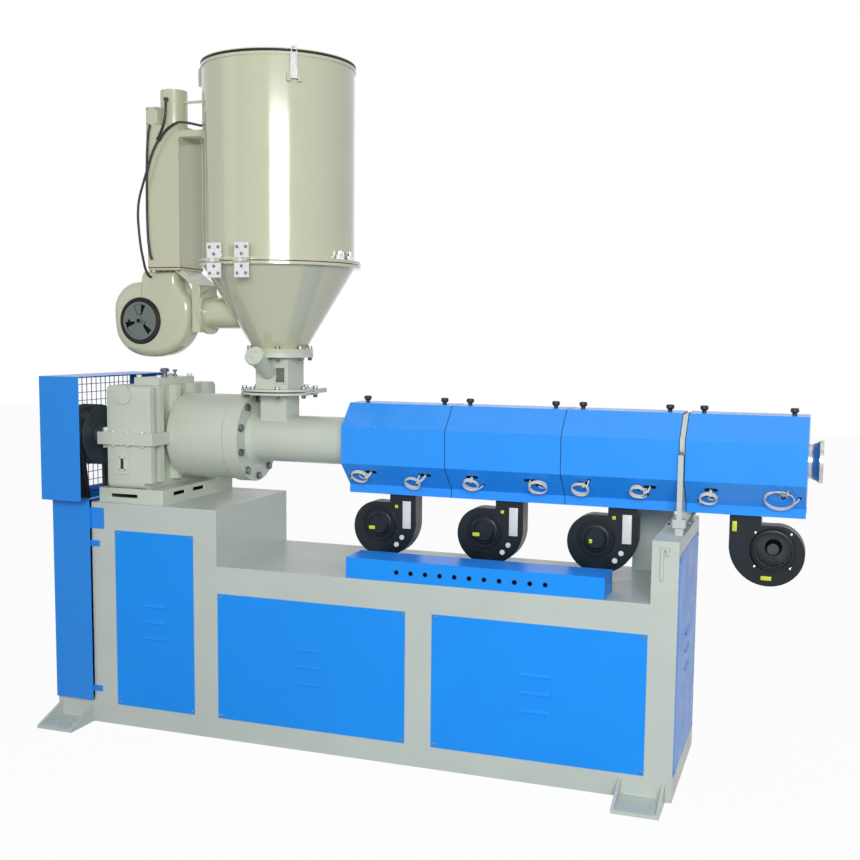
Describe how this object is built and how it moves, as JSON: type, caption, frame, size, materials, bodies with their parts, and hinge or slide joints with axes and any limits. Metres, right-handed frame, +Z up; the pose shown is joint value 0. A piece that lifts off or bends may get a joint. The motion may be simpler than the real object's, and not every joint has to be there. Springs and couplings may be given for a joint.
{
  "type": "single-screw plastics extruder",
  "caption": "Belt-driven single-screw extruder on a box frame with gearbox, covered air-cooled barrel and tilting hopper dryer",
  "frame": {"origin": "centre of the anchor-hole rectangle in the feet, at floor level", "axes": "+X along the barrel to its outlet, +Y away from the operator, +Z up"},
  "size_m": [2.647, 0.821, 2.3673],
  "materials": {
    "frame_paint": "smooth grey-green paint",
    "panel_blue": "bright blue powder coat",
    "guard_blue": "blue powder coat",
    "mesh_wire": "painted wire mesh",
    "screw_steel": "dark zinc",
    "motor_grey": "painted casting",
    "pulley_black": "blackened cast iron",
    "belt_rubber": "matte",
    "gearbox_paint": "grey-green paint on castings",
    "sight_glass": "oil-brown",
    "gear_steel": "ground",
    "barrel_steel": "machined",
    "band_metal": "cast bands",
    "cover_blue": "bright blue powder coat",
    "knob_black": "moulded black",
    "lead_white": "braided sleeve",
    "blower_dark": "dark paint",
    "wheel_metal": "formed sheet",
    "hopper_paint": "grey-green beige paint",
    "bright_steel": "polished",
    "seal_black": "matte",
    "seal_red": "matte",
    "shutter_grey": "dark grey-green paint",
    "cable_black": "matte"
  },
  "bodies": {
    "machine": {"base_frame": "frame_paint", "tower_panel": "panel_blue", "bench_panels": "panel_blue", "rear_panels": "panel_blue", "end_panel": "panel_blue", "panel_screws": "screw_steel", "belt_guard": "guard_blue", "guard_mesh": "mesh_wire", "belt_duct": "guard_blue", "drive_motor": "motor_grey", "v_belts": "belt_rubber", "gearbox_riser": "gearbox_paint", "gearbox_lower": "gearbox_paint", "gearbox_upper": "gearbox_paint", "gearbox_cover": "gearbox_paint", "oil_sight_glass": "sight_glass", "thrust_housing": "gearbox_paint", "flange_bolts": "screw_steel", "feed_throat": "gearbox_paint", "barrel": "barrel_steel", "heater_bands": "band_metal", "cover_1": "cover_blue", "cover_2": "cover_blue", "cover_3": "cover_blue", "cover_4": "cover_blue", "cover_pans": "cover_blue", "cover_knobs": "knob_black", "heater_leads": "lead_white", "blower_1": "blower_dark", "blower_2": "blower_dark", "blower_3": "blower_dark", "blower_4": "blower_dark", "wiring_tray": "panel_blue", "support_lower": "frame_paint", "support_upper": "frame_paint", "hopper_base": "gearbox_paint", "hopper_cone": "hopper_paint"},
    "screw": {"extruder_screw": "gear_steel", "output_gear": "gear_steel"},
    "input_shaft": {"input_pulley": "pulley_black", "input_pinion": "gear_steel"},
    "motor_rotor": {"motor_pulley": "pulley_black"},
    "fan_1": {"wheel_1": "wheel_metal"},
    "fan_2": {"wheel_2": "wheel_metal"},
    "fan_3": {"wheel_3": "wheel_metal"},
    "fan_4": {"wheel_4": "wheel_metal"},
    "hopper": {"hopper_body": "hopper_paint", "lid_gasket": "seal_black", "tilt_hinge": "bright_steel", "ring_clamps": "bright_steel", "heater_box": "hopper_paint", "box_gasket": "seal_red", "dryer_blower": "hopper_paint", "hot_air_duct": "hopper_paint", "dryer_cables": "cable_black"},
    "lid": {"hopper_lid": "hopper_paint"},
    "latch": {"lid_latch": "bright_steel"},
    "dryer_fan": {"dryer_wheel": "wheel_metal"},
    "shutter": {"inlet_shutter": "shutter_grey"},
    "gate": {"slide_gate": "frame_paint"}
  },
  "joints": [
    {"name": "screw_spin", "type": "hinge", "parent": "machine", "child": "screw", "pos_m": [-0.3, 0, 1.048], "axis": [1, 0, 0], "continuous": true},
    {"name": "input_spin", "type": "hinge", "parent": "machine", "child": "input_shaft", "pos_m": [-0.9, -0.15, 1.048], "axis": [1, 0, 0], "continuous": true},
    {"name": "motor_spin", "type": "hinge", "parent": "machine", "child": "motor_rotor", "pos_m": [-0.9, -0.07, 0.285], "axis": [1, 0, 0], "continuous": true},
    {"name": "fan_1_spin", "type": "hinge", "parent": "machine", "child": "fan_1", "pos_m": [0.0655, 0, 0.766], "axis": [0, 1, 0], "continuous": true},
    {"name": "fan_2_spin", "type": "hinge", "parent": "machine", "child": "fan_2", "pos_m": [0.449, 0, 0.766], "axis": [0, 1, 0], "continuous": true},
    {"name": "fan_3_spin", "type": "hinge", "parent": "machine", "child": "fan_3", "pos_m": [0.831, 0, 0.766], "axis": [0, 1, 0], "continuous": true},
    {"name": "fan_4_spin", "type": "hinge", "parent": "machine", "child": "fan_4", "pos_m": [1.3885, 0, 0.766], "axis": [0, 1, 0], "continuous": true},
    {"name": "hopper_tilt", "type": "hinge", "parent": "machine", "child": "hopper", "pos_m": [-0.369, -0.306, 1.6695], "axis": [1, 0, 0], "range_deg": [0, 80]},
    {"name": "lid_lift", "type": "hinge", "parent": "hopper", "child": "lid", "pos_m": [-0.638, 0, 2.3613], "axis": [0, -1, 0], "range_deg": [0, 100]},
    {"name": "latch_turn", "type": "hinge", "parent": "hopper", "child": "latch", "pos_m": [-0.1717, -0.222, 2.266], "axis": [0.7986, 0.6018, 0], "range_deg": [0, 100]},
    {"name": "dryer_fan_spin", "type": "hinge", "parent": "hopper", "child": "dryer_fan", "pos_m": [-0.884, 0, 1.468], "axis": [0, 1, 0], "continuous": true},
    {"name": "shutter_turn", "type": "hinge", "parent": "hopper", "child": "shutter", "pos_m": [-0.884, -0.063, 1.468], "axis": [0, 1, 0], "range_deg": [-60, 60]},
    {"name": "gate_slide", "type": "slide", "parent": "machine", "child": "gate", "axis": [1, 0, 0], "range_m": [0, 0.092]}
  ],
  "couplings": [
    {"joint": "input_spin", "follows": "screw_spin", "ratio": -4},
    {"joint": "motor_spin", "follows": "screw_spin", "ratio": -8.56}
  ]
}
